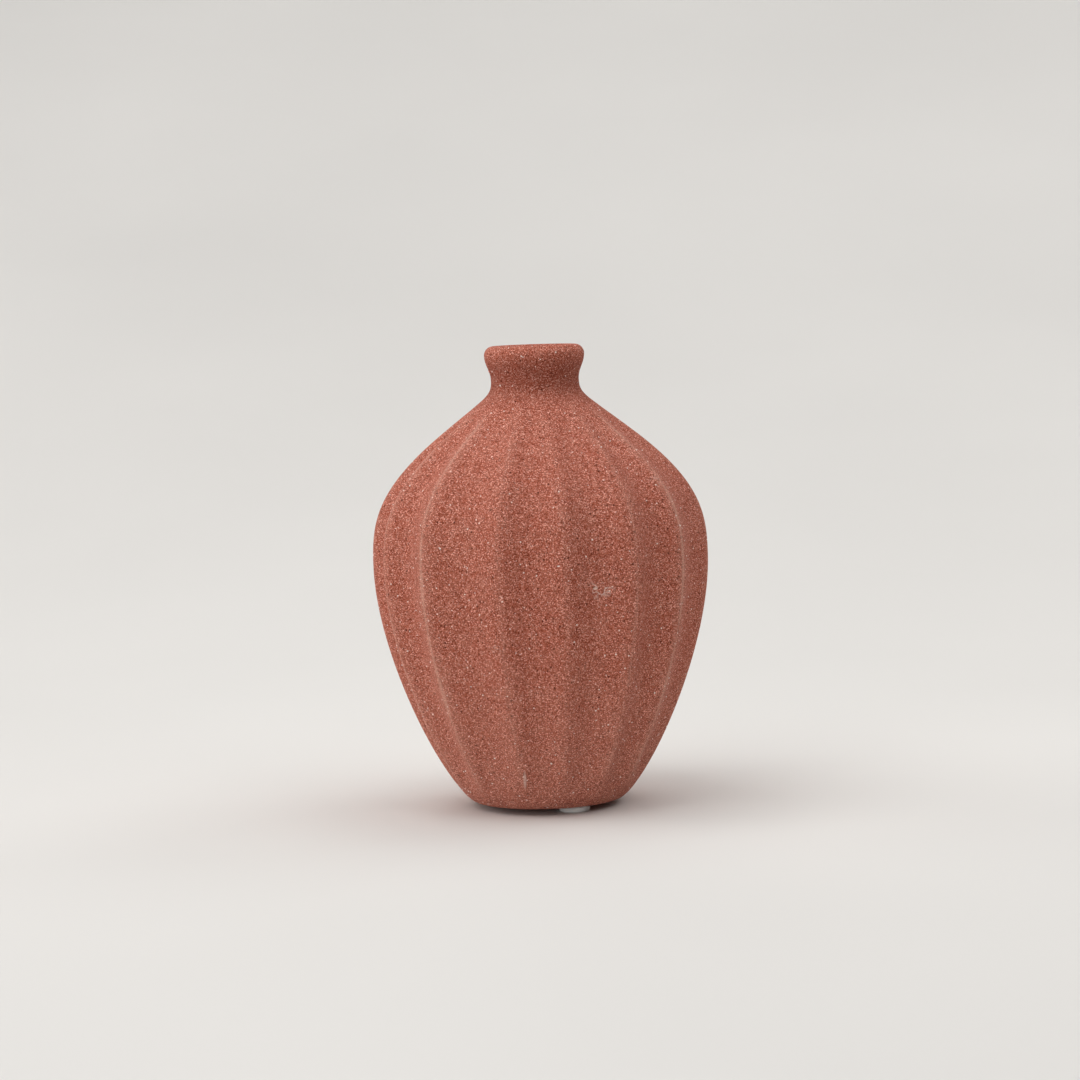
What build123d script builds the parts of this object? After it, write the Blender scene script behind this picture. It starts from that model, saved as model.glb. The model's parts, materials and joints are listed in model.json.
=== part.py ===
"""Ceramic bud vase: a slip-cast fluted bottle with a flared lip, a glazed lining and three stick-on foot pads.

Millimetres. +Z is up, the origin is on the vase's axis at the height that the pads stand on, and the
front of the vase faces -Y. Azimuths are measured from the front (-Y) towards +X.
"""

from build123d import *
from math import cos, pi, radians, sin, tan
import os

# Overall sizes
total_height = 120.0
pad_height = 1.5
base_z = pad_height

# Rounded edges: the foot's outer edge and its turn up to the flank, the lip's outer edge and the mouth
foot_flat_radius = 18.7
foot_edge_radius = 2.5
foot_flank_angle = 38.0
lip_edge_radius = 2.4
mouth_edge_radius = 1.2

# Outer outline between the rounded edges, as knots of a smooth curve through the ridge crests.
# Each knot: radius, height, outward slope (radius gained per mm of height), handle below, handle above.
foot_slope = 1.0 / tan(radians(foot_flank_angle))
foot_handle = 10.3
belly_knot = (43.6, 64.2, 0.0, 23.0, 10.4)
shoulder_knot = (25.7, 96.8, -1.25, 21.8, 16.0)
waist_knot = (11.4, 111.0, 0.0, 4.3, 2.7)
lip_knot = (13.0, total_height - lip_edge_radius, 0.0, 2.6, 0.0)

# Level sections taken along each stretch of the outline: foot edge, foot, body, shoulder, neck, lip edge
sections_per_stretch = (3, 8, 7, 6, 4, 4)

# Flutes
flute_count = 15
first_ridge_azimuth = -66.5
flute_depth_ratio = 0.072
ridge_sharpness = 0.6
points_per_flute = 6
flute_foot_fade = (3.0, 12.0)
flute_shoulder_fade = (98.0, 105.0)
# How far each hand-finished ridge leans away from an even spacing, in degrees
ridge_offsets = (0.0, -1.3, 4.5, 2.5, 4.0, 2.2, 9.0, 6.5, 3.5, 4.8, 2.2, 4.6, 1.5, 4.5, 3.5)

# Cavity: flat floor, swelling wall and straight throat. Knots as for the outer outline.
floor_z = 6.0
floor_radius = 13.0
floor_handle = 9.0
throat_radius = 8.5
throat_bottom_z = 107.0
inner_belly_knot = (37.7, 64.0, 0.0, 25.0, 10.0)
inner_shoulder_knot = (22.3, 94.0, -1.26, 19.0, 12.0)
inner_throat_knot = (throat_radius, throat_bottom_z, 0.0, 4.6, 0.0)

# Glaze lining of the cavity. It ends below the throat, where it still leaves the throat's full width clear.
glaze_thickness = 0.4
glaze_top_z = 104.0

# Recess in the underside
recess_radius = 9.0
recess_depth = 1.0
recess_edge_radius = 0.6

# Foot pads, placed by hand at uneven spacings, each held by its own disc of adhesive
pad_radius = 4.0
pad_circle_radius = 14.6
pad_azimuths = (27.3, 150.0, 250.0)
pad_edge_radius = 0.3
adhesive_thickness = 0.2
adhesive_radius = 3.8


def direction(slope):
    """Unit direction in the (radius, height) plane that rises with the given outward slope."""
    length = (slope * slope + 1.0) ** 0.5
    return slope / length, 1.0 / length


def span_points(lower, upper):
    """Control points of the cubic curve that leaves the lower knot and arrives at the upper one."""
    lower_radius, lower_z, lower_slope, _, handle_above = lower
    upper_radius, upper_z, upper_slope, handle_below, _ = upper
    out_r, out_z = direction(lower_slope)
    in_r, in_z = direction(upper_slope)
    return [
        (lower_radius, lower_z),
        (lower_radius + handle_above * out_r, lower_z + handle_above * out_z),
        (upper_radius - handle_below * in_r, upper_z - handle_below * in_z),
        (upper_radius, upper_z),
    ]


def smooth_rise(value, start, end):
    """0 below start, 1 above end, and a smooth S between them."""
    share = min(max((value - start) / (end - start), 0.0), 1.0)
    return share * share * (3.0 - 2.0 * share)


def flute_depth(radius, height):
    """Depth of a flute below its ridges: it follows the radius and fades out at the foot and the neck."""
    at_foot = smooth_rise(height, *flute_foot_fade)
    at_shoulder = 1.0 - smooth_rise(height, *flute_shoulder_fade)
    return flute_depth_ratio * radius * at_foot * at_shoulder


def ridge_azimuth(index):
    """Azimuth of one ridge, counted on past the last ridge round to the first one again."""
    turns, ridge = divmod(index, flute_count)
    return first_ridge_azimuth + 360.0 * (turns + ridge / flute_count) + ridge_offsets[ridge]


def section_points(radius, height):
    """Points round one level section: softly rounded ridges with wider hollows between them."""
    depth = flute_depth(radius, height)
    points = []
    for flute in range(flute_count):
        start, end = ridge_azimuth(flute), ridge_azimuth(flute + 1)
        for step in range(points_per_flute):
            share = step / points_per_flute
            swing = sin(pi * share) ** 2
            hollow = swing * (1.0 + ridge_sharpness) / (1.0 + ridge_sharpness * swing)
            azimuth = radians(start + (end - start) * share)
            point_radius = radius - depth * hollow
            points.append((point_radius * sin(azimuth), -point_radius * cos(azimuth)))
    return points


# Outer outline from the foot to the lip, with the radius along X and the height along Y
with BuildLine() as outer_outline:
    foot_edge = JernArc((foot_flat_radius, base_z), (1.0, 0.0), foot_edge_radius, foot_flank_angle)
    foot_knot = ((foot_edge @ 1).X, (foot_edge @ 1).Y, foot_slope, 0.0, foot_handle)
    outer_knots = [foot_knot, belly_knot, shoulder_knot, waist_knot, lip_knot]
    for lower_knot, upper_knot in zip(outer_knots, outer_knots[1:]):
        Bezier(*span_points(lower_knot, upper_knot))
    lip_edge = JernArc(lip_knot[:2], (0.0, 1.0), lip_edge_radius, 90.0)

# Radius and height of each level section that the body is lofted through
stations = []
for stretch, count in zip(outer_outline.edges().sort_by(Axis.Y), sections_per_stretch):
    for step in range(count):
        stations.append(stretch @ (step / count))
stations.append(lip_edge @ 1)

# One shared spacing along every section keeps the loft's lines running straight up the flutes
points_per_section = flute_count * points_per_flute
section_parameters = [index / points_per_section for index in range(points_per_section + 1)]


def moved_in(knot, inset):
    """The same knot, moved square to the outline towards the inside."""
    radius, height, slope, handle_below, handle_above = knot
    along_r, along_z = direction(slope)
    return radius - inset * along_z, height + inset * along_r, slope, handle_below, handle_above


def cavity_section(inset, top_z):
    """Half section of the cavity, from the axis to the wall, drawn in from the wall by the inset."""
    belly, shoulder, throat = (
        moved_in(knot, inset) for knot in (inner_belly_knot, inner_shoulder_knot, inner_throat_knot)
    )
    bottom = floor_z + inset
    with BuildSketch(Plane.XZ) as section:
        with BuildLine():
            Line((0.0, bottom), (floor_radius, bottom))
            Bezier(
                (floor_radius, bottom),
                (floor_radius + floor_handle, bottom),
                (belly[0], belly[1] - belly[3]),
                belly[:2],
            )
            Bezier(*span_points(belly, shoulder))
            Bezier(*span_points(shoulder, throat))
            Line(throat[:2], (throat[0], top_z))
            Line((throat[0], top_z), (0.0, top_z))
            Line((0.0, top_z), (0.0, bottom))
        make_face()
    return section.sketch


cavity = cavity_section(0.0, total_height + 1.0)
glazed_cavity = cavity_section(glaze_thickness, total_height + 1.0)

# Vase body: fluted loft, hollowed by the turned cavity
with BuildPart() as vase_body:
    for station in stations:
        with BuildSketch(Plane.XY.offset(station.Y)):
            with BuildLine():
                outline_points = section_points(station.X, station.Y)
                add(Edge.make_spline(outline_points, periodic=True, parameters=section_parameters))
            make_face()
    loft()
    revolve(cavity, axis=Axis.Z, mode=Mode.SUBTRACT)
    mouth_edge = vase_body.edges().filter_by(GeomType.CIRCLE).sort_by(Axis.Z)[-1]
    fillet(mouth_edge, mouth_edge_radius)
    with BuildSketch(Plane.XY.offset(base_z)):
        Circle(recess_radius)
    extrude(amount=recess_depth, mode=Mode.SUBTRACT)
    recess_edges = vase_body.edges().filter_by_position(Axis.Z, base_z + recess_depth, base_z + recess_depth)
    fillet(recess_edges, recess_edge_radius)
vase_body.part.label = "vase_body"

# Glaze lining: a thin skin against the cavity wall, from the floor to just below the throat
with BuildPart() as glaze_lining:
    revolve(cavity, axis=Axis.Z)
    revolve(glazed_cavity, axis=Axis.Z, mode=Mode.SUBTRACT)
    split(bisect_by=Plane.XY.offset(glaze_top_z), keep=Keep.BOTTOM)
glaze_lining.part.label = "glaze_lining"


def pad_centre(index):
    """Centre of one foot pad in plan."""
    azimuth = radians(pad_azimuths[index])
    return pad_circle_radius * sin(azimuth), -pad_circle_radius * cos(azimuth)


def build_foot_pad(index):
    """Foam disc that the vase stands on."""
    with BuildPart() as foot_pad:
        with BuildSketch(Plane.XY):
            with Locations(pad_centre(index)):
                Circle(pad_radius)
        extrude(amount=pad_height - adhesive_thickness)
        fillet(foot_pad.edges().group_by(Axis.Z)[0], pad_edge_radius)
    foot_pad.part.label = f"foot_pad_{index + 1}"
    return foot_pad.part


def build_pad_adhesive(index):
    """Thin adhesive disc between a foot pad and the underside."""
    with BuildPart() as pad_adhesive:
        with BuildSketch(Plane.XY.offset(pad_height - adhesive_thickness)):
            with Locations(pad_centre(index)):
                Circle(adhesive_radius)
        extrude(amount=adhesive_thickness)
    pad_adhesive.part.label = f"pad_adhesive_{index + 1}"
    return pad_adhesive.part


pieces = [vase_body.part, glaze_lining.part]
for pad in range(len(pad_azimuths)):
    pieces.append(build_foot_pad(pad))
    pieces.append(build_pad_adhesive(pad))

os.makedirs("parts", exist_ok=True)
for piece in pieces:
    export_step(piece, f"parts/{piece.label}.step")
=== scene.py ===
"""Fluted ceramic bud vase with a sandy terracotta coating, laid out as a Blender add-on and run as a script.

Metres. +Z is up, the origin is on the vase's axis at the height that the pads stand on, and the front of
the vase faces -Y. Azimuths are measured from the front (-Y) towards +X.
"""

import json
from math import cos, degrees, pi, radians, sin, tan

import bpy
import numpy as np
from bpy.props import FloatProperty, FloatVectorProperty, IntProperty, PointerProperty
from mathutils import Matrix, Vector


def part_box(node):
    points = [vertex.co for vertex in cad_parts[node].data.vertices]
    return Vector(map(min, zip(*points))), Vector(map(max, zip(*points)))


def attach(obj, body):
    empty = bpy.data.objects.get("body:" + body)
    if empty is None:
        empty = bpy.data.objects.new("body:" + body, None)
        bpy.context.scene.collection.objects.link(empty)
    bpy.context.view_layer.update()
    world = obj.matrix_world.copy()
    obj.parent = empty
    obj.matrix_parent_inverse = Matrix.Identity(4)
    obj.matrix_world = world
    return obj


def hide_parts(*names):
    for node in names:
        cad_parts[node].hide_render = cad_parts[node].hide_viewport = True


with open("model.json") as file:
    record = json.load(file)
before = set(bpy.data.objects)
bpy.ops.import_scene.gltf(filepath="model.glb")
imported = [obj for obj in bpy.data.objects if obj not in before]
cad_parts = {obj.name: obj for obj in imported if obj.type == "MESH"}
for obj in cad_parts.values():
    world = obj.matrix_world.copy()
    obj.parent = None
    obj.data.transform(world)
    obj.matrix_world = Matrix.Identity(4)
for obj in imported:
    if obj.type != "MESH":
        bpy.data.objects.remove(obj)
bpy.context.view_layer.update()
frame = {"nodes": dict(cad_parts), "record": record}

bl_info = {
    "name": "Fluted Bud Vase",
    "version": (1, 0, 0),
    "blender": (4, 5, 0),
    "location": "View3D > Sidebar > Bud Vase",
    "description": (
        "Builds a fluted ceramic bud vase with a sandy coating, its lining, its foot pads and a studio"
    ),
    "category": "Add Mesh",
}

MM = 0.001
BODY_LOW, BODY_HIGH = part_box("vase_body")
LINING_LOW, LINING_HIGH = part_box("glaze_lining")
PAD_COUNT = sum(name.startswith("foot_pad_") for name in frame["nodes"])
MOUTH = next(mount for mount in frame["record"]["mounts"] if mount["name"] == "mouth")

BASE_Z = BODY_LOW.z
TOP_Z = BODY_HIGH.z
CAVITY_FLOOR_Z = LINING_LOW.z
LINING_TOP_Z = LINING_HIGH.z
THROAT_RADIUS = MOUTH["dims"]["r_mm"] * MM

# Outline of the outside: the flank's angle at the foot, the slope at the shoulder, and the lengths of the
# handles that shape the curve below and above each knot
FLANK_ANGLE = radians(38.0)
SHOULDER_SLOPE = -1.25
FOOT_HANDLE = 10.3 * MM
BELLY_HANDLES = (23.0 * MM, 10.4 * MM)
SHOULDER_HANDLES = (21.8 * MM, 16.0 * MM)
WAIST_HANDLES = (4.3 * MM, 2.7 * MM)
LIP_HANDLE = 2.6 * MM
RECESS_ROUNDING = 0.6 * MM

# Outline of the cavity: its knots are radius, height, outward slope, handle below and handle above
CAVITY_FLOOR_RADIUS = 13.0 * MM
CAVITY_FLOOR_HANDLE = 9.0 * MM
CAVITY_BELLY = (37.7 * MM, 64.0 * MM, 0.0, 25.0 * MM, 10.0 * MM)
CAVITY_SHOULDER = (22.3 * MM, 94.0 * MM, -1.26, 19.0 * MM, 12.0 * MM)
CAVITY_THROAT = (THROAT_RADIUS, 107.0 * MM, 0.0, 4.6 * MM, 0.0)

# Flutes: how far each hand-finished ridge leans from an even spacing, in degrees, how dusty it is, and the
# heights between which the flutes fade in and out
FIRST_RIDGE = radians(-66.5)
RIDGE_OFFSETS = (0.0, -1.3, 4.5, 2.5, 4.0, 2.2, 9.0, 6.5, 3.5, 4.8, 2.2, 4.6, 1.5, 4.5, 3.5)
RIDGE_DUST = (0.7, 0.9, 0.2, 0.15, 0.4, 1.0, 0.6, 0.7, 0.4, 0.8, 0.5, 0.9, 0.4, 0.7, 0.6)
FOOT_FADE = (3.0 * MM, 12.0 * MM)
SHOULDER_FADE = (98.0 * MM, 105.0 * MM)

# Fineness of the meshes: rows in each stretch of an outline, and columns round the axis
UNDERSIDE_ROWS = (4, 4, 2, 6)
OUTSIDE_ROWS = (5, 76, 48, 32, 12, 10)
MOUTH_ROWS = (2, 7)
CAVITY_ROWS = (6, 22, 14, 14, 10)
PAD_ROWS = (4, 5, 5, 4)
COLUMNS_PER_FLUTE = 23
LINING_COLUMNS = 120
PAD_COLUMNS = 72
FLOOR_ROWS = (24, 48)
FLOOR_COLUMNS = 33

# Sizes of the features in the sandy coating
HUMP_SIZE = 0.23 * MM
GRAIN_SIZE = 0.30 * MM
POWDER_SIZE = 0.20 * MM
PIT_SPACING = 0.85 * MM
STROKE_SIZE = 1.9 * MM
MOTTLE_SIZE = 3.2 * MM
DRIFT_SIZE = 14.0 * MM
GRAIN_RELIEF = 0.045 * MM

# Heights of the painted shade in the neck under the lip, and of the painted floor light near the foot
NECK_SHADE_RISE = (104.0 * MM, 110.0 * MM)
NECK_SHADE_FALL = (118.5 * MM, 114.0 * MM)
FOOT_BOUNCE_LIGHT = (45.0 * MM, 0.0)

# Chalky marks left by handling: centre, reach along each axis, weight, and how solid the mark is
CHALK_MARKS = (
    ((14.6 * MM, -38.5 * MM, 59.6 * MM), (4.4 * MM, 5.0 * MM, 2.8 * MM), 0.9, 0.0),
    ((-5.8 * MM, -26.4 * MM, 10.2 * MM), (0.5 * MM, 4.0 * MM, 3.6 * MM), 0.6, 0.8),
    ((29.5 * MM, -22.5 * MM, 85.0 * MM), (1.8 * MM, 3.0 * MM, 1.8 * MM), 0.5, 0.0),
    ((-11.5 * MM, -39.0 * MM, 45.5 * MM), (2.2 * MM, 4.0 * MM, 1.2 * MM), 0.4, 0.0),
)

# Studio. The floor lies a hair below the pads, so that the two never share a plane.
FLOOR_REACH = 1.6
STUDIO_FLOOR_Z = -0.01 * MM
SWEEP_START = 0.25
SWEEP_RADIUS = 1.3
SWEEP_MIDDLE = (0.0, 1.0, 0.25)
LOW_SOFTBOX_SIZE = 0.7
HIGH_SOFTBOX_SIZE = 1.1
SOFTBOX_DISTANCE = 1.25


# ---------------------------------------------------------------------------------------------------
# Sizes and colours
# ---------------------------------------------------------------------------------------------------


def length_property(name, description, default):
    """A length that the user can change, shown in the scene's units."""
    return FloatProperty(name=name, description=description, default=default, unit="LENGTH", precision=5)


def colour_property(name, description, default):
    """A linear colour that the user can change."""
    return FloatVectorProperty(
        name=name, description=description, default=default, subtype="COLOR", size=3, min=0.0, max=1.0
    )


def power_property(name, description, default):
    """A light's power."""
    return FloatProperty(name=name, description=description, default=default, min=0.0, unit="POWER")


class VaseSizes(bpy.types.PropertyGroup):
    """Sizes of the vase's own pieces."""

    belly_radius: length_property("Belly radius", "Radius over the ridges at the widest level", 43.6 * MM)
    belly_height: length_property("Belly height", "Height of the widest level", 64.2 * MM)
    shoulder_radius: length_property("Shoulder radius", "Radius where the shoulder turns", 25.7 * MM)
    shoulder_height: length_property("Shoulder height", "Height where the shoulder turns", 96.8 * MM)
    neck_radius: length_property("Neck radius", "Radius at the narrowest level", 11.4 * MM)
    neck_height: length_property("Neck height", "Height of the narrowest level", 111.0 * MM)
    lip_radius: length_property("Lip radius", "Outer radius of the flared lip", 13.0 * MM)
    lip_rounding: length_property("Lip rounding", "Radius of the lip's outer edge", 2.4 * MM)
    mouth_rounding: length_property("Mouth rounding", "Radius of the mouth's inner edge", 1.2 * MM)
    foot_radius: length_property("Foot radius", "Radius of the flat part of the underside", 18.7 * MM)
    foot_rounding: length_property("Foot rounding", "Radius of the foot's outer edge", 2.5 * MM)
    recess_radius: length_property("Recess radius", "Radius of the recess in the underside", 9.0 * MM)
    recess_depth: length_property("Recess depth", "Depth of the recess in the underside", 1.0 * MM)
    flute_count: IntProperty(name="Flutes", description="Number of flutes round the body", default=15, min=3)
    flute_depth: FloatProperty(
        name="Flute depth", description="Depth of a flute as a share of the radius", default=0.072, min=0.0
    )
    ridge_sharpness: FloatProperty(
        name="Ridge sharpness",
        description="How narrow the ridges are beside the hollows",
        default=0.6,
        min=0.0,
    )
    glaze_thickness: length_property("Glaze thickness", "Thickness of the glaze lining", 0.4 * MM)
    pad_rounding: length_property("Pad rounding", "Radius of the foot pads' edges", 0.3 * MM)
    grit_size: length_property("Grit size", "Typical diameter of a loose quartz grain", 0.46 * MM)
    grit_count: IntProperty(name="Grit count", description="Number of quartz grains", default=1700, min=0)


class VaseColours(bpy.types.PropertyGroup):
    """Colours of the vase's materials."""

    clay: colour_property("Clay", "Body of the sandy coating", (0.47, 0.116, 0.067))
    # Painted shade: the colour of shade in the gaps between grains, in the pits and in the neck under the
    # lip; it also darkens some grains at random
    shaded_clay: colour_property("Clay between grains", "Shaded gaps between the grains", (0.10, 0.017, 0.008))
    grain: colour_property("Grain", "Lighter sand grains in the coating", (0.97, 0.51, 0.41))
    # Also the colour of the painted light from the floor near the foot
    dust: colour_property("Dust", "Chalky dust rubbed onto the ridges", (0.64, 0.35, 0.27))
    chalk: colour_property("Chalk", "Scuffs and scratches", (0.80, 0.60, 0.52))
    quartz: colour_property("Quartz", "Loose bright grains", (0.95, 0.90, 0.84))
    glaze: colour_property("Glaze", "Glossy lining of the inside", (0.20, 0.065, 0.04))
    foam: colour_property("Foam", "Foam of the foot pads", (0.93, 0.93, 0.91))
    adhesive: colour_property("Adhesive", "Adhesive film on the foot pads", (0.66, 0.64, 0.58))


class StudioSettings(bpy.types.PropertyGroup):
    """Camera, lights and floor."""

    camera_distance: length_property("Camera distance", "Distance in front of the vase's axis", 0.813)
    camera_height: length_property("Camera height", "Height above the floor", 0.1382)
    camera_pitch: FloatProperty(
        name="Camera pitch", description="Angle below the horizon", default=radians(4.85), unit="ROTATION"
    )
    camera_roll: FloatProperty(
        name="Camera roll",
        description="Turn about the line of sight",
        default=radians(-1.85),
        unit="ROTATION",
    )
    camera_lens: FloatProperty(
        name="Lens", description="Focal length", default=104.33, min=10.0, unit="CAMERA"
    )
    key_power: power_property("Key light", "High on the left", 9.8)
    window_power: power_property("Window light", "Low on the left, a little behind", 4.9)
    front_power: power_property("Front light", "Low in front, a little to the left", 3.7)
    top_power: power_property("Top light", "High on the right", 5.5)
    back_power: power_property("Back light", "Behind on the right", 3.1)
    backdrop_power: power_property("Backdrop light", "Overhead, on the sweep behind the vase", 5.5)
    sky_strength: FloatProperty(
        name="Ambient light", description="Strength of the even light from all round", default=0.03, min=0.0
    )
    floor: colour_property("Floor", "Pale floor and backdrop", (0.785, 0.765, 0.735))
    sky: colour_property("Ambient colour", "Colour of the even light", (1.0, 0.985, 0.96))


# ---------------------------------------------------------------------------------------------------
# Materials: sockets as numbers in an expression, and one method for every node
# ---------------------------------------------------------------------------------------------------


class Wire:
    """A node's output socket. Arithmetic on it adds the Math nodes that do it."""

    def __init__(self, finish, socket):
        self.finish = finish
        self.socket = socket

    def math(self, operation, *values, clamp=False):
        settings = {"operation": operation, "use_clamp": clamp}
        return self.finish.node("ShaderNodeMath", settings, dict(enumerate(values)))["Value"]

    def __add__(self, other):
        return self.math("ADD", self, other)

    def __radd__(self, other):
        return self.math("ADD", other, self)

    def __sub__(self, other):
        return self.math("SUBTRACT", self, other)

    def __rsub__(self, other):
        return self.math("SUBTRACT", other, self)

    def __mul__(self, other):
        return self.math("MULTIPLY", self, other)

    def __rmul__(self, other):
        return self.math("MULTIPLY", other, self)

    def ramp(self, start, end):
        """0 at start, 1 at end, a straight ramp between them, and level beyond.
        The end may be the lower one."""
        return self.math("MULTIPLY_ADD", self, 1.0 / (end - start), -start / (end - start), clamp=True)

    def size(self):
        return self.math("ABSOLUTE", self)

    def least(self, other):
        return self.math("MINIMUM", self, other)


class Placed:
    """A node in a material. Indexing it by an output's name gives a Wire."""

    def __init__(self, finish, node):
        self.finish = finish
        self.node = node

    def __getitem__(self, name):
        socket = next(socket for socket in self.node.outputs if socket.name == name and socket.enabled)
        return Wire(self.finish, socket)


class Finish:
    """A material with one principled shader, built up node by node."""

    def __init__(self, name, **constants):
        self.material = bpy.data.materials.new(name)
        self.material.use_nodes = True
        self.tree = self.material.node_tree
        self.tree.nodes.clear()
        self.shader = self.node("ShaderNodeBsdfPrincipled", {}, constants)
        self.node("ShaderNodeOutputMaterial", {}, {"Surface": self.shader["BSDF"]})
        self.place = self.node("ShaderNodeTexCoord", {}, {})["Object"]

    def node(self, kind, settings, inputs):
        """Adds a node, sets its settings and then its sockets, each to a number, a colour or a Wire."""
        node = self.tree.nodes.new(kind)
        for name, value in settings.items():
            setattr(node, name, value)
        for key, value in inputs.items():
            self.feed(node, key, value)
        return Placed(self, node)

    def feed(self, node, key, value):
        """Links a Wire to an input socket, or sets the socket to a constant."""
        if isinstance(key, int):
            socket = node.inputs[key]
        else:
            socket = next(socket for socket in node.inputs if socket.name == key and socket.enabled)
        if isinstance(value, Wire):
            self.tree.links.new(value.socket, socket)
        elif socket.type == "RGBA":
            socket.default_value = (*value, 1.0)
        else:
            socket.default_value = value

    def vector(self, operation, *values, output="Vector"):
        """Vector Math on wires and constant vectors."""
        return self.node("ShaderNodeVectorMath", {"operation": operation}, dict(enumerate(values)))[output]

    def sized(self, size):
        """Object coordinates over a size in metres, so that a texture's features come out at that size."""
        return self.vector("MULTIPLY", self.place, (1.0 / size, 1.0 / size, 1.0 / size))

    def noise(self, vector, detail=2.0, roughness=0.5):
        inputs = {"Vector": vector, "Scale": 1.0, "Detail": detail, "Roughness": roughness}
        return self.node("ShaderNodeTexNoise", {"noise_dimensions": "3D"}, inputs)["Fac"]

    def cells(self, vector):
        return self.node("ShaderNodeTexVoronoi", {"feature": "F1"}, {"Vector": vector, "Scale": 1.0})

    def red(self, colour):
        """One channel of a cell's random colour, which is a random number for the cell."""
        return self.node("ShaderNodeSeparateColor", {"mode": "RGB"}, {"Color": colour})["Red"]

    def mix(self, factor, first, second):
        """first where factor is 0 and second where it is 1."""
        settings = {"data_type": "RGBA", "blend_type": "MIX"}
        inputs = {"Factor": factor, "A": first, "B": second}
        return self.node("ShaderNodeMix", settings, inputs)["Result"]

    def patch(self, centre, reach):
        """1 near the centre, and 0 outside the ellipsoid round it that reaches this far along each axis."""
        from_centre = self.vector("SUBTRACT", self.place, centre)
        return self.vector("LENGTH", self.vector("DIVIDE", from_centre, reach), output="Value").ramp(1.0, 0.4)

    def attribute(self, name):
        """A number stored on the piece's vertices."""
        return self.node("ShaderNodeAttribute", {"attribute_name": name}, {})["Fac"]

    def bump(self, height, depth, strength=1.0):
        """Feeds the shader's normal from a height of 0 to 1 that stands for the given depth in metres."""
        inputs = {"Height": height, "Distance": depth, "Strength": strength}
        self.feed(self.shader.node, "Normal", self.node("ShaderNodeBump", {}, inputs)["Normal"])

    def colour(self, value):
        self.feed(self.shader.node, "Base Color", value)

    def roughness(self, value):
        self.feed(self.shader.node, "Roughness", value)


def sandy_clay(colours):
    """Matt coating of coloured sand on red clay: humps of packed grains with painted shade in the gaps,
    single grains of mixed brightness, pits with painted shade, painted shade in the neck under the lip, a
    line of fine dust along each ridge, painted light from the floor near the foot, and the chalky marks that
    handling leaves."""
    finish = Finish("sandy_clay", **{"Specular IOR Level": 0.10})
    humps = finish.noise(finish.sized(HUMP_SIZE), detail=1.0)
    grains = finish.cells(finish.sized(GRAIN_SIZE))
    grain_tone = finish.red(grains["Color"])
    grain_dome = grains["Distance"].ramp(0.75, 0.1)
    powder = finish.noise(finish.sized(POWDER_SIZE), detail=2.0, roughness=0.7)
    mottle = finish.noise(finish.sized(MOTTLE_SIZE), detail=3.0)
    drift = finish.noise(finish.sized(DRIFT_SIZE))
    strokes = finish.noise(finish.sized(STROKE_SIZE), detail=2.0)
    pits = finish.cells(finish.sized(PIT_SPACING))
    pit = finish.red(pits["Color"]).ramp(0.94, 0.96) * pits["Distance"].ramp(0.40, 0.20)

    # Painted shade in the gaps between the humps of packed grains
    colour = finish.mix(humps.ramp(0.32, 0.50), colours.shaded_clay, colours.clay)
    colour = finish.mix(humps.ramp(0.50, 0.80) * 0.6, colour, colours.grain)
    colour = finish.mix(grain_tone.ramp(0.60, 0.84) * grain_dome.ramp(0.35, 0.65), colour, colours.grain)
    # Painted shade in the pits, and some grains darker at random
    colour = finish.mix((pit + grain_tone.ramp(0.30, 0.0) * 0.5).least(1.0), colour, colours.shaded_clay)
    colour = finish.mix(mottle.ramp(0.45, 0.75) * 0.1, colour, colours.dust)
    height = finish.node("ShaderNodeSeparateXYZ", {}, {"Vector": finish.place})["Z"]
    # Painted shade in the hollow of the neck, under the flared lip
    neck = height.ramp(*NECK_SHADE_RISE) * height.ramp(*NECK_SHADE_FALL)
    colour = finish.mix(neck * 0.34, colour, colours.shaded_clay)
    # Painted light: lighter towards the foot, for light that the floor throws up, in the dust colour
    colour = finish.mix(height.ramp(*FOOT_BOUNCE_LIGHT) * 0.16, colour, colours.dust)
    gap = finish.attribute("ridge_gap") + (drift - 0.5) * (1.6 * MM)
    line = gap.ramp(0.55 * MM, 0.1 * MM) * powder.ramp(0.30, 0.55) * 0.5
    halo = gap.ramp(2.6 * MM, 0.2 * MM) * powder.ramp(0.30, 0.75) * 0.45
    colour = finish.mix((line + halo) * finish.attribute("ridge_dust"), colour, colours.dust)
    stroke = (strokes - 0.5).size().ramp(0.06, 0.01) * powder.ramp(0.30, 0.50)
    for centre, reach, weight, solidity in CHALK_MARKS:
        cover = (stroke + solidity).least(1.0)
        colour = finish.mix(finish.patch(centre, reach) * cover * weight, colour, colours.chalk)
    finish.colour(colour)

    finish.roughness(0.86 + grain_tone * 0.12)
    finish.bump(humps + grain_dome * grain_tone * 0.5 + powder * 0.3 - pit * 0.8, GRAIN_RELIEF)
    return finish.material


def quartz_grit(colours):
    """Pale, slightly glassy grains, each with its own tint between red clay and white quartz."""
    finish = Finish("quartz_grit", **{"Specular IOR Level": 0.5, "Roughness": 0.45})
    finish.colour(finish.mix(finish.attribute("whiteness"), colours.grain, colours.quartz))
    finish.bump(finish.noise(finish.sized(POWDER_SIZE)), 0.02 * MM)
    return finish.material


def inner_glaze(colours):
    """Glossy glaze over red clay, with a slow ripple and small pinholes."""
    gloss = {"Roughness": 0.12, "Specular IOR Level": 0.5, "Coat Weight": 0.6, "Coat Roughness": 0.05}
    finish = Finish("inner_glaze", **gloss)
    ripple = finish.noise(finish.sized(6.0 * MM), detail=2.0)
    pinholes = finish.cells(finish.sized(2.2 * MM))
    pinhole = finish.red(pinholes["Color"]).ramp(0.80, 0.84) * pinholes["Distance"].ramp(0.12, 0.05)
    deep = tuple(channel * 0.55 for channel in colours.glaze)
    finish.colour(finish.mix((ripple.ramp(0.35, 0.65) * 0.6 + pinhole).least(1.0), colours.glaze, deep))
    finish.bump(ripple - pinhole * 0.5, 0.10 * MM)
    return finish.material


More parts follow.
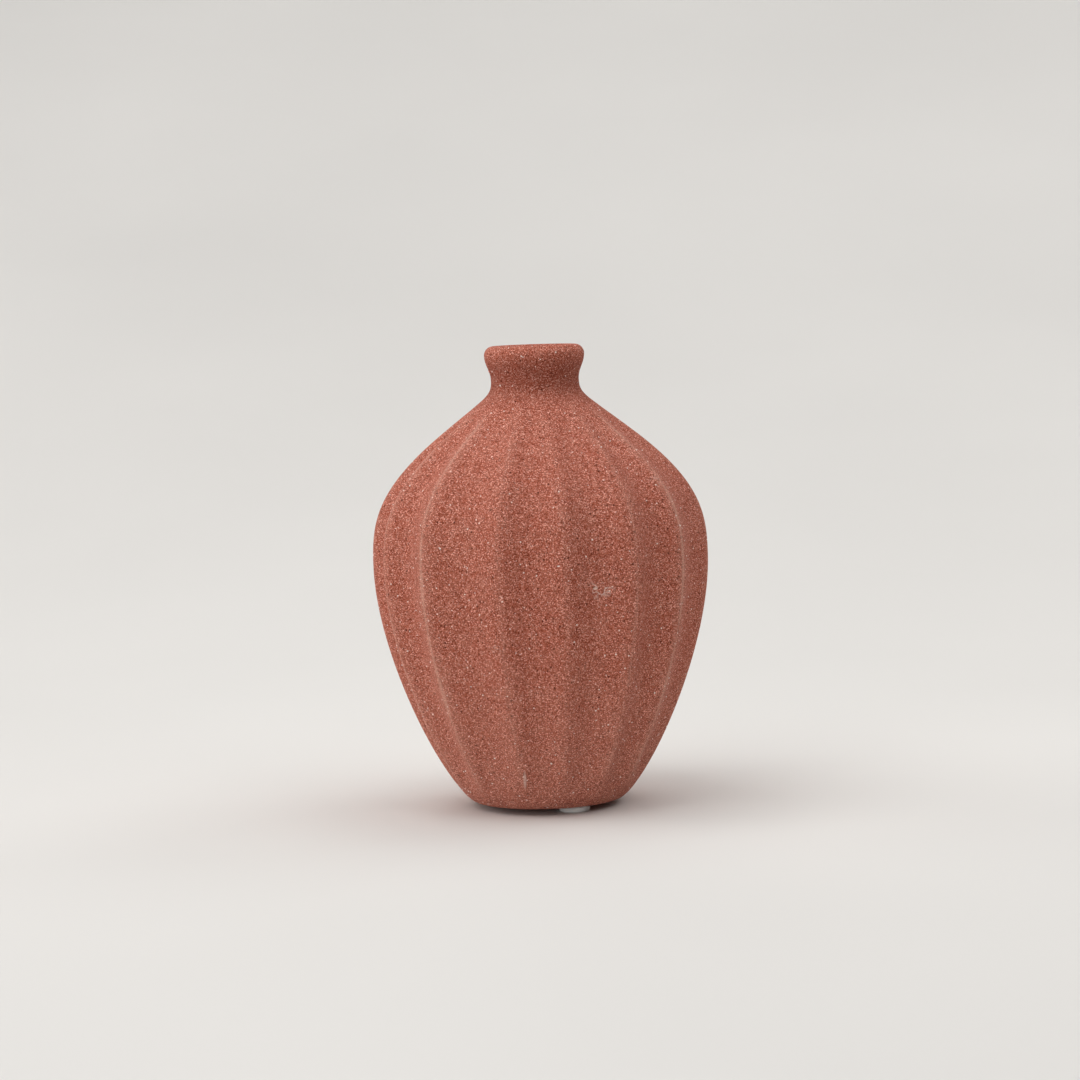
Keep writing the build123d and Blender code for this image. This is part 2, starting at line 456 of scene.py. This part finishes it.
def pad_foam(colours):
    """Closed-cell white foam: fine round cells, a skin that is a little smoother, and slight grey soiling."""
    finish = Finish("pad_foam", **{"Specular IOR Level": 0.3, "Diffuse Roughness": 0.6})
    cells = finish.cells(finish.sized(0.16 * MM))
    soiling = finish.noise(finish.sized(1.8 * MM), detail=4.0)
    shaded = tuple(channel * 0.72 for channel in colours.foam)
    finish.colour(finish.mix(soiling.ramp(0.48, 0.78) * 0.5 + cells["Distance"] * 0.2, colours.foam, shaded))
    finish.roughness(0.70 + soiling * 0.2)
    finish.bump(cells["Distance"], 0.03 * MM)
    return finish.material


def adhesive_film(colours):
    """Translucent acrylic adhesive: smooth, faintly cloudy, with small trapped bubbles."""
    finish = Finish("adhesive_film", **{"Specular IOR Level": 0.5})
    cloud = finish.noise(finish.sized(0.9 * MM), detail=3.0)
    bubbles = finish.cells(finish.sized(0.5 * MM))
    bubble = finish.red(bubbles["Color"]).ramp(0.75, 0.80) * bubbles["Distance"].ramp(0.35, 0.25)
    pale = tuple(min(1.0, channel * 1.25) for channel in colours.adhesive)
    finish.colour(finish.mix((cloud * 0.5 + bubble * 0.5).least(1.0), colours.adhesive, pale))
    finish.roughness(0.22 + cloud * 0.15)
    finish.bump(bubble, 0.02 * MM)
    return finish.material


def studio_paper(settings):
    """Pale matt floor and backdrop, with a very faint cloudiness."""
    finish = Finish("studio_paper", **{"Specular IOR Level": 0.1, "Roughness": 0.95})
    cloud = finish.noise(finish.vector("MULTIPLY", finish.place, (3.0, 2.0, 7.0)), detail=3.0)
    darker = tuple(channel * 0.94 for channel in settings.floor)
    finish.colour(finish.mix(cloud.ramp(0.35, 0.75), settings.floor, darker))
    return finish.material


# ---------------------------------------------------------------------------------------------------
# Outlines: each stretch is an array of (radius, height) rows, without its last point
# ---------------------------------------------------------------------------------------------------


def line_stretch(start, end, count):
    """Straight stretch: start + t (end - start), with t from 0 to 1."""
    share = np.linspace(0.0, 1.0, count, endpoint=False)[:, None]
    return np.array(start) + share * (np.array(end) - np.array(start))


def arc_stretch(centre, radius, start, end, count):
    """Round stretch: centre + radius (cos a, sin a), with a from start to end in degrees."""
    angle = np.radians(np.linspace(start, end, count, endpoint=False))
    return np.array(centre) + radius * np.column_stack([np.cos(angle), np.sin(angle)])


def cubic_stretch(points, count):
    """Cubic curve: (1-t)^3 P0 + 3 (1-t)^2 t P1 + 3 (1-t) t^2 P2 + t^3 P3, with t from 0 to 1."""
    share = np.linspace(0.0, 1.0, count, endpoint=False)[:, None]
    first, second, third, fourth = np.array(points)
    rest = 1.0 - share
    return rest**3 * first + 3 * rest**2 * share * second + 3 * rest * share**2 * third + share**3 * fourth


def knot_span(lower, upper):
    """Four control points of the cubic between two knots. Each knot holds its radius, height, outward slope,
    and the lengths of its handles below and above."""
    lower_along = Vector((lower[2], 1.0)).normalized()
    upper_along = Vector((upper[2], 1.0)).normalized()
    start = Vector(lower[:2])
    end = Vector(upper[:2])
    return [tuple(p) for p in (start, start + lower[4] * lower_along, end - upper[3] * upper_along, end)]


def moved_in(knot, inset):
    """The same knot, moved square to the outline towards the inside."""
    along = Vector((knot[2], 1.0)).normalized()
    return (knot[0] - inset * along.y, knot[1] + inset * along.x, *knot[2:])


def outside_rows(sizes):
    """Outline of the outside, from the edge of the foot's flat part to the edge of the lip's flat top."""
    foot = (
        sizes.foot_radius + sizes.foot_rounding * sin(FLANK_ANGLE),
        BASE_Z + sizes.foot_rounding * (1.0 - cos(FLANK_ANGLE)),
        1.0 / tan(FLANK_ANGLE),
        0.0,
        FOOT_HANDLE,
    )
    belly = (sizes.belly_radius, sizes.belly_height, 0.0, *BELLY_HANDLES)
    shoulder = (sizes.shoulder_radius, sizes.shoulder_height, SHOULDER_SLOPE, *SHOULDER_HANDLES)
    waist = (sizes.neck_radius, sizes.neck_height, 0.0, *WAIST_HANDLES)
    lip = (sizes.lip_radius, TOP_Z - sizes.lip_rounding, 0.0, LIP_HANDLE, 0.0)
    foot_centre = (sizes.foot_radius, BASE_Z + sizes.foot_rounding)
    foot_arc_end = degrees(FLANK_ANGLE) - 90.0
    lip_centre = (sizes.lip_radius - sizes.lip_rounding, TOP_Z - sizes.lip_rounding)
    return np.vstack(
        [
            arc_stretch(foot_centre, sizes.foot_rounding, -90.0, foot_arc_end, OUTSIDE_ROWS[0]),
            cubic_stretch(knot_span(foot, belly), OUTSIDE_ROWS[1]),
            cubic_stretch(knot_span(belly, shoulder), OUTSIDE_ROWS[2]),
            cubic_stretch(knot_span(shoulder, waist), OUTSIDE_ROWS[3]),
            cubic_stretch(knot_span(waist, lip), OUTSIDE_ROWS[4]),
            arc_stretch(lip_centre, sizes.lip_rounding, 0.0, 90.0, OUTSIDE_ROWS[5]),
        ]
    )


def cavity_rows(inset, top_z):
    """Outline of the cavity from its floor's middle up to top_z, drawn in from the wall by the inset."""
    belly = moved_in(CAVITY_BELLY, inset)
    shoulder = moved_in(CAVITY_SHOULDER, inset)
    throat = moved_in(CAVITY_THROAT, inset)
    bottom = CAVITY_FLOOR_Z + inset
    floor_edge = (CAVITY_FLOOR_RADIUS, bottom)
    floor_curve = [
        floor_edge,
        (CAVITY_FLOOR_RADIUS + CAVITY_FLOOR_HANDLE, bottom),
        (belly[0], belly[1] - belly[3]),
        belly[:2],
    ]
    rows = np.vstack(
        [
            line_stretch((0.0, bottom), floor_edge, CAVITY_ROWS[0]),
            cubic_stretch(floor_curve, CAVITY_ROWS[1]),
            cubic_stretch(knot_span(belly, shoulder), CAVITY_ROWS[2]),
            cubic_stretch(knot_span(shoulder, throat), CAVITY_ROWS[3]),
            line_stretch(throat[:2], (throat[0], max(top_z, throat[1] + inset)), CAVITY_ROWS[4]),
        ]
    )
    kept = rows[rows[:, 1] < top_z]
    top_radius = np.interp(top_z, rows[:, 1], rows[:, 0])
    return np.vstack([kept, (top_radius, top_z)])


# ---------------------------------------------------------------------------------------------------
# Surfaces and meshes
# ---------------------------------------------------------------------------------------------------


def smooth_rise(value, start, end):
    """0 below start, 1 above end, and s^2 (3 - 2 s) between them."""
    share = np.clip((value - start) / (end - start), 0.0, 1.0)
    return share * share * (3.0 - 2.0 * share)


def ridge_azimuths(sizes):
    """Azimuths of the ridges, with the first one again a full turn on, so that every flute has two ends."""
    even = FIRST_RIDGE + 2.0 * pi * np.arange(sizes.flute_count) / sizes.flute_count
    azimuths = even + np.radians(np.resize(RIDGE_OFFSETS, sizes.flute_count))
    return np.append(azimuths, azimuths[0] + 2.0 * pi)


def turned_grid(rows, azimuths):
    """Grid of the outline turned about the axis: a row for each outline point, a column for each azimuth."""
    radius = rows[:, 0][:, None] + np.zeros(len(azimuths))
    height = rows[:, 1][:, None] + np.zeros(len(azimuths))
    return placed_grid(radius, height, azimuths)


def placed_grid(radius, height, azimuths):
    """Points X = r sin a, Y = -r cos a, Z = h of a grid of radii r and heights h over the azimuths a."""
    return np.stack([radius * np.sin(azimuths), -radius * np.cos(azimuths), height], axis=-1)


def grid_faces(row_count, column_count, column, beside):
    """Quads between neighbouring rows of a grid, from each of the given columns to the one beside it."""
    row = np.arange(row_count - 1)[:, None] * column_count
    above = row + column_count
    quads = np.stack([row + column, row + beside, above + beside, above + column], axis=-1)
    return quads.reshape(-1, 4)


def new_object(name, vertices, faces, material):
    """An object with its mesh already in place, smooth-shaded, with one material."""
    mesh = bpy.data.meshes.new(name)
    mesh.from_pydata(vertices, [], faces)
    mesh.shade_smooth()
    mesh.materials.append(material)
    piece = bpy.data.objects.new(name, mesh)
    bpy.context.scene.collection.objects.link(piece)
    return piece


def poled_mesh(name, grid, material):
    """Closed mesh of a grid whose first and last rows have shrunk to points on the axis, where fans of
    triangles close it. The path between them runs so that azimuth cross path points outwards."""
    row_count, column_count = grid.shape[:2]
    inner = grid[1:-1].reshape(-1, 3)
    first_pole = len(inner)
    last_pole = first_pole + 1
    vertices = np.vstack([inner, grid[0, 0], grid[-1, 0]])
    column = np.arange(column_count)
    beside = (column + 1) % column_count
    quads = grid_faces(row_count - 2, column_count, column, beside)
    last_row = (row_count - 3) * column_count
    first_fan = np.column_stack([np.full(column_count, first_pole), beside, column])
    last_fan = np.column_stack([last_row + column, last_row + beside, np.full(column_count, last_pole)])
    faces = quads.tolist() + first_fan.tolist() + last_fan.tolist()
    return new_object(name, vertices, faces, material)


def finished(piece, node):
    """Sets the piece on the vase's body in place of the CAD node."""
    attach(piece, "root")
    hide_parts(node)


def body_surface(sizes):
    """Points of the whole body, with the distance from the nearest ridge and that ridge's dustiness at each.

    The path runs from the middle of the underside, out over the foot, up the outside, over the lip, and down
    the throat and the cavity's wall to the middle of its floor. On the outside the radius is
    r - depth h, where h = s (1 + k) / (1 + k s), s = sin^2(pi f), f is the share of the way across the flute,
    and depth is a share of r that fades out at the foot and the shoulder."""
    recess_top = BASE_Z + sizes.recess_depth
    corner_centre = (sizes.recess_radius - RECESS_ROUNDING, recess_top - RECESS_ROUNDING)
    recess_edge = (sizes.recess_radius, BASE_Z)
    underside = np.vstack(
        [
            line_stretch((0.0, recess_top), (corner_centre[0], recess_top), UNDERSIDE_ROWS[0]),
            arc_stretch(corner_centre, RECESS_ROUNDING, 90.0, 0.0, UNDERSIDE_ROWS[1]),
            line_stretch((sizes.recess_radius, corner_centre[1]), recess_edge, UNDERSIDE_ROWS[2]),
            line_stretch(recess_edge, (sizes.foot_radius, BASE_Z), UNDERSIDE_ROWS[3]),
        ]
    )
    outside = outside_rows(sizes)
    lip_flat_edge = (sizes.lip_radius - sizes.lip_rounding, TOP_Z)
    mouth_radius = THROAT_RADIUS + sizes.mouth_rounding
    mouth_centre = (mouth_radius, TOP_Z - sizes.mouth_rounding)
    mouth = np.vstack(
        [
            line_stretch(lip_flat_edge, (mouth_radius, TOP_Z), MOUTH_ROWS[0]),
            arc_stretch(mouth_centre, sizes.mouth_rounding, 90.0, 180.0, MOUTH_ROWS[1]),
        ]
    )
    inside = cavity_rows(0.0, TOP_Z - sizes.mouth_rounding)[::-1]
    rows = np.vstack([underside, outside, mouth, inside])
    is_outside = np.zeros(len(rows))
    is_outside[len(underside) : len(underside) + len(outside)] = 1.0

    ridges = ridge_azimuths(sizes)
    flute = np.arange(sizes.flute_count * COLUMNS_PER_FLUTE) / COLUMNS_PER_FLUTE
    azimuths = np.interp(flute, np.arange(len(ridges)), ridges)
    swing = np.sin(pi * flute) ** 2
    hollow = swing * (1.0 + sizes.ridge_sharpness) / (1.0 + sizes.ridge_sharpness * swing)
    fade = smooth_rise(rows[:, 1], *FOOT_FADE) * (1.0 - smooth_rise(rows[:, 1], *SHOULDER_FADE)) * is_outside
    radius = rows[:, 0][:, None] * (1.0 - sizes.flute_depth * fade[:, None] * hollow)
    height = rows[:, 1][:, None] + np.zeros(len(azimuths))

    nearest = np.rint(flute).astype(int) % sizes.flute_count
    dust = np.resize(RIDGE_DUST, sizes.flute_count)[nearest]
    spacing = 2.0 * pi / sizes.flute_count
    gap = np.abs(flute - np.rint(flute)) * spacing * radius
    return placed_grid(radius, height, azimuths), gap, fade[:, None] * dust


class VASE_OT_body(bpy.types.Operator):
    """Add the fluted, hollow ceramic body"""

    bl_idname = "bud_vase.body"
    bl_label = "Add Vase Body"

    def execute(self, context):
        grid, gap, dust = body_surface(context.scene.vase_sizes)
        material = sandy_clay(context.scene.vase_colours)
        body = poled_mesh("vase_body_surface", grid, material)
        for name, field in (("ridge_gap", gap), ("ridge_dust", dust)):
            values = np.append(field[1:-1].ravel(), (0.0, 0.0))
            body.data.attributes.new(name, "FLOAT", "POINT").data.foreach_set("value", values)
        finished(body, "vase_body")
        return {"FINISHED"}


class VASE_OT_grit(bpy.types.Operator):
    """Add the loose quartz grains that stand out of the coating"""

    bl_idname = "bud_vase.grit"
    bl_label = "Add Quartz Grit"

    def execute(self, context):
        sizes = context.scene.vase_sizes
        centres, normals = grit_places(sizes, sizes.grit_count)
        random = np.random.default_rng(7)
        ball, ball_faces = grain_shape()
        radius = sizes.grit_size / 2.0 * random.uniform(0.55, 1.25, (len(centres), 1, 1))
        turned = ball[None] @ random_turns(random, len(centres))
        squash = random.uniform(0.75, 1.15, (len(centres), 1, 3))
        sunk = centres - normals * radius[:, :, 0] * 0.35
        vertices = (turned * squash * radius + sunk[:, None, :]).reshape(-1, 3)
        offsets = np.arange(len(centres))[:, None, None] * len(ball)
        faces = (ball_faces[None] + offsets).reshape(-1, 3)
        grit = new_object("quartz_grit", vertices, faces.tolist(), quartz_grit(context.scene.vase_colours))
        whiteness = np.repeat(random.uniform(0.0, 1.0, len(centres)) ** 0.9, len(ball))
        grit.data.attributes.new("whiteness", "FLOAT", "POINT").data.foreach_set("value", whiteness)
        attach(grit, "root")
        return {"FINISHED"}


def grit_places(sizes, count):
    """Places scattered evenly over the outside, with the outward direction at each. Each place is a random
    point of a grid cell, picked with a chance in proportion to the cell's area."""
    grid = body_surface(sizes)[0]
    random = np.random.default_rng(11)
    along_row = np.roll(grid, -1, axis=1) - grid
    up_path = np.roll(grid, -1, axis=0) - grid
    cross = np.cross(along_row, up_path)
    area = np.linalg.norm(cross, axis=-1)
    outside = np.zeros(area.shape)
    top_row = int(np.argmax(grid[:, 0, 2]))
    outside[sum(UNDERSIDE_ROWS) : top_row] = 1.0
    chance = (area * outside).ravel()
    picked = random.choice(chance.size, count, p=chance / chance.sum())
    row, column = np.divmod(picked, grid.shape[1])
    shares = random.uniform(0.0, 1.0, (2, count, 1))
    places = grid[row, column] + shares[0] * along_row[row, column] + shares[1] * up_path[row, column]
    return places, cross[row, column] / area[row, column, None]


def grain_shape():
    """Icosahedron of unit radius, from the golden ratio g: corners at the even turns of (0, 1, g), where two
    corners that share an edge are 2 apart, all other pairs are 2 g apart or more, and 1 + g lies between."""
    golden = (1.0 + 5.0**0.5) / 2.0
    signs = np.array([(a, b) for a in (-1.0, 1.0) for b in (-1.0, 1.0)])
    flat = np.column_stack([np.zeros(4), signs[:, 0], signs[:, 1] * golden])
    corners = np.vstack([flat, np.roll(flat, 1, axis=1), np.roll(flat, 2, axis=1)])
    apart = np.linalg.norm(corners[:, None] - corners, axis=-1)
    near = apart < 1.0 + golden
    faces = np.array(
        [
            (a, b, c)
            for a in range(12)
            for b in range(a + 1, 12)
            for c in range(b + 1, 12)
            if near[a, b] and near[b, c] and near[a, c]
        ]
    )
    sides = np.cross(corners[faces[:, 1]] - corners[faces[:, 0]], corners[faces[:, 2]] - corners[faces[:, 0]])
    inward = np.einsum("ij,ij->i", sides, corners[faces[:, 0]]) < 0.0
    faces[inward] = faces[inward][:, ::-1]
    return corners / np.linalg.norm(corners[0]), faces


def random_turns(random, count):
    """Rotation matrices from random unit quaternions (w, x, y, z)."""
    draws = random.normal(size=(4, count))
    w, x, y, z = draws / np.linalg.norm(draws, axis=0)
    rows = [
        [1 - 2 * (y * y + z * z), 2 * (x * y - z * w), 2 * (x * z + y * w)],
        [2 * (x * y + z * w), 1 - 2 * (x * x + z * z), 2 * (y * z - x * w)],
        [2 * (x * z - y * w), 2 * (y * z + x * w), 1 - 2 * (x * x + y * y)],
    ]
    return np.moveaxis(np.array(rows), 2, 0)


class VASE_OT_lining(bpy.types.Operator):
    """Add the glossy glaze lining of the inside"""

    bl_idname = "bud_vase.lining"
    bl_label = "Add Glaze Lining"

    def execute(self, context):
        thickness = context.scene.vase_sizes.glaze_thickness
        outer = cavity_rows(0.0, LINING_TOP_Z)
        inner = cavity_rows(thickness, LINING_TOP_Z)[::-1]
        azimuths = np.linspace(0.0, 2.0 * pi, LINING_COLUMNS, endpoint=False)
        grid = turned_grid(np.vstack([outer, inner]), azimuths)
        lining = poled_mesh("glaze_lining_surface", grid, inner_glaze(context.scene.vase_colours))
        finished(lining, "glaze_lining")
        return {"FINISHED"}


def disc_grid(node, rounding, sag):
    """Round disc that fills the CAD node's box. The outline runs up the rounded side between its two flat
    ends, and the side bows out by the sag."""
    low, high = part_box(node)
    centre = (low + high) / 2.0
    radius = (high.x - low.x) / 2.0 - sag
    rows = np.vstack(
        [
            line_stretch((0.0, low.z), (radius - rounding, low.z), PAD_ROWS[0]),
            arc_stretch((radius - rounding, low.z + rounding), rounding, -90.0, 0.0, PAD_ROWS[1]),
            arc_stretch((radius - rounding, high.z - rounding), rounding, 0.0, 90.0, PAD_ROWS[2]),
            line_stretch((radius - rounding, high.z), (0.0, high.z), PAD_ROWS[3]),
            [(0.0, high.z)],
        ]
    )
    middle = np.clip(1.0 - ((rows[:, 1] - centre.z) / (high.z - centre.z)) ** 2, 0.0, 1.0)
    rows[:, 0] += sag * middle * (rows[:, 0] > radius / 2.0)
    grid = turned_grid(rows, np.linspace(0.0, 2.0 * pi, PAD_COLUMNS, endpoint=False))
    return grid + np.array((centre.x, centre.y, 0.0))


class VASE_OT_foot_pads(bpy.types.Operator):
    """Add the stick-on foot pads and their adhesive"""

    bl_idname = "bud_vase.foot_pads"
    bl_label = "Add Foot Pads"

    def execute(self, context):
        foam = pad_foam(context.scene.vase_colours)
        film = adhesive_film(context.scene.vase_colours)
        for number in range(1, PAD_COUNT + 1):
            node = f"foot_pad_{number}"
            rounding = context.scene.vase_sizes.pad_rounding
            pad = poled_mesh(f"{node}_surface", disc_grid(node, rounding, 0.08 * MM), foam)
            finished(pad, node)
            node = f"pad_adhesive_{number}"
            disc = poled_mesh(f"{node}_surface", disc_grid(node, 0.05 * MM, 0.0), film)
            finished(disc, node)
        return {"FINISHED"}


def backdrop_grid():
    """Floor that sweeps up behind: y and z follow a level line and then a wide quarter circle, and x runs
    across. The rise is slow enough for a camera behind the vase to stand clear of it."""
    level = line_stretch((-FLOOR_REACH, STUDIO_FLOOR_Z), (SWEEP_START, STUDIO_FLOOR_Z), FLOOR_ROWS[0])
    centre_y, centre_z = SWEEP_START, STUDIO_FLOOR_Z + SWEEP_RADIUS
    bend = arc_stretch((centre_y, centre_z), SWEEP_RADIUS, -90.0, 0.0, FLOOR_ROWS[1])
    path = np.vstack([level, bend, [(centre_y + SWEEP_RADIUS, centre_z)]])
    across = np.linspace(-FLOOR_REACH, FLOOR_REACH, FLOOR_COLUMNS)
    x = across[None, :] + np.zeros((len(path), 1))
    y = path[:, 0][:, None] + np.zeros(len(across))
    z = path[:, 1][:, None] + np.zeros(len(across))
    return np.stack([x, y, z], axis=-1)


def add_softbox(name, azimuth, elevation, size, power, target=(0.0, 0.0, TOP_Z / 2.0)):
    """Square light that faces the target from the given direction, in degrees."""
    data = bpy.data.lights.new(name, "AREA")
    data.shape = "SQUARE"
    data.size = size
    data.energy = power
    light = bpy.data.objects.new(name, data)
    turn = Matrix.Rotation(radians(azimuth), 4, "Z") @ Matrix.Rotation(radians(90.0 - elevation), 4, "X")
    light.matrix_world = Matrix.Translation(target) @ turn @ Matrix.Translation((0.0, 0.0, SOFTBOX_DISTANCE))
    light.visible_camera = False
    bpy.context.scene.collection.objects.link(light)


class VASE_OT_studio(bpy.types.Operator):
    """Add the floor, the lights and the camera"""

    bl_idname = "bud_vase.studio"
    bl_label = "Add Studio"

    def execute(self, context):
        settings = context.scene.vase_studio
        grid = backdrop_grid()
        row_count, column_count = grid.shape[:2]
        column = np.arange(column_count - 1)
        faces = grid_faces(row_count, column_count, column, column + 1).tolist()
        floor = new_object("studio_floor", grid.reshape(-1, 3), faces, studio_paper(settings))

        add_softbox("key_light", -60.0, 62.0, HIGH_SOFTBOX_SIZE, settings.key_power)
        add_softbox("window_light", -110.0, 8.0, LOW_SOFTBOX_SIZE, settings.window_power)
        add_softbox("front_light", -30.0, 8.0, LOW_SOFTBOX_SIZE, settings.front_power)
        add_softbox("top_light", 60.0, 62.0, HIGH_SOFTBOX_SIZE, settings.top_power)
        add_softbox("back_light", 120.0, 35.0, LOW_SOFTBOX_SIZE, settings.back_power)
        add_softbox("backdrop_light", 0.0, 80.0, HIGH_SOFTBOX_SIZE, settings.backdrop_power, SWEEP_MIDDLE)

        world = bpy.data.worlds.new("studio_world")
        world.use_nodes = True
        background = world.node_tree.nodes["Background"]
        background.inputs["Color"].default_value = (*settings.sky, 1.0)
        background.inputs["Strength"].default_value = settings.sky_strength
        context.scene.world = world
        context.scene.view_settings.view_transform = "Standard"

        data = bpy.data.cameras.new("studio_camera")
        data.lens = settings.camera_lens
        data.sensor_width = 36.0
        camera = bpy.data.objects.new("studio_camera", data)
        place = Matrix.Translation((0.0, -settings.camera_distance, settings.camera_height))
        pitch = Matrix.Rotation(pi / 2.0 - settings.camera_pitch, 4, "X")
        camera.matrix_world = place @ pitch @ Matrix.Rotation(settings.camera_roll, 4, "Z")
        context.scene.collection.objects.link(camera)
        context.scene.camera = camera
        return {"FINISHED"}


class VASE_PT_panel(bpy.types.Panel):
    """Sizes, colours and one button for each piece"""

    bl_idname = "VASE_PT_panel"
    bl_label = "Bud Vase"
    bl_space_type = "VIEW_3D"
    bl_region_type = "UI"
    bl_category = "Bud Vase"

    def draw(self, context):
        layout = self.layout
        for operator in OPERATORS:
            layout.operator(operator.bl_idname)
        for group in (context.scene.vase_sizes, context.scene.vase_colours, context.scene.vase_studio):
            box = layout.box()
            for name in type(group).__annotations__:
                box.prop(group, name)


OPERATORS = (VASE_OT_body, VASE_OT_grit, VASE_OT_lining, VASE_OT_foot_pads, VASE_OT_studio)
GROUPS = {"vase_sizes": VaseSizes, "vase_colours": VaseColours, "vase_studio": StudioSettings}


def register():
    for group in GROUPS.values():
        bpy.utils.register_class(group)
    for name, group in GROUPS.items():
        setattr(bpy.types.Scene, name, PointerProperty(type=group))
    for operator in OPERATORS:
        bpy.utils.register_class(operator)
    bpy.utils.register_class(VASE_PT_panel)


def unregister():
    bpy.utils.unregister_class(VASE_PT_panel)
    for operator in reversed(OPERATORS):
        bpy.utils.unregister_class(operator)
    for name in GROUPS:
        delattr(bpy.types.Scene, name)
    for group in reversed(GROUPS.values()):
        bpy.utils.unregister_class(group)


def main():
    """Builds every piece and the studio."""
    register()
    bpy.ops.bud_vase.body()
    bpy.ops.bud_vase.grit()
    bpy.ops.bud_vase.lining()
    bpy.ops.bud_vase.foot_pads()
    bpy.ops.bud_vase.studio()


if __name__ == "__main__":
    main()
